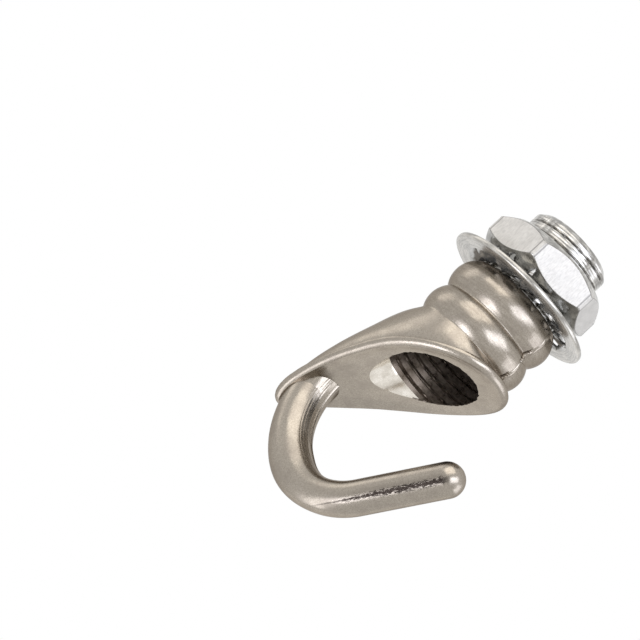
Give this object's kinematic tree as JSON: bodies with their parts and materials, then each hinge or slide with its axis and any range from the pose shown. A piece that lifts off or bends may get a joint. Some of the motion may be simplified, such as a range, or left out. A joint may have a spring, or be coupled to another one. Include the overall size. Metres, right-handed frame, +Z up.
{
  "type": "ceiling hook",
  "caption": "Ceiling hook with a wire way: a leaning bell-shaped body with an open J hook below, a hollow threaded nipple on top, a toothed washer and a hexagon lock nut.",
  "frame": {"origin": "centre of the seat, the small flat ring on top of the body that meets the canopy or plate", "axes": "+Z up along the nipple and its wire way; the hook hangs below in the plane y = 0, its root on the -X side and its open side at +X"},
  "size_m": [0.0259, 0.0176, 0.039],
  "materials": {
    "cast_body": "satin nickel plated zinc die casting",
    "nipple": "bright zinc plated steel, cut thread",
    "washer": "bright zinc plated spring steel",
    "nut": "bright zinc plated steel"
  },
  "bodies": {
    "hook": {"hook_body": "cast_body", "threaded_nipple": "nipple"},
    "toothed_washer": {"toothed_washer": "washer"},
    "hex_nut": {"hex_nut": "nut"}
  },
  "joints": [
    {"name": "washer_travel", "type": "slide", "parent": "hook", "child": "toothed_washer", "axis": [0, 0, 1], "range_m": [0, 0.0035]},
    {"name": "nut_turn", "type": "hinge", "parent": "toothed_washer", "child": "hex_nut", "pos_m": [0, 0, 0], "axis": [0, 0, 1], "range_deg": [0, 1080]}
  ],
  "couplings": [
    {"joint": "washer_travel", "follows": "nut_turn", "m_per_rad": 0.00015915}
  ]
}
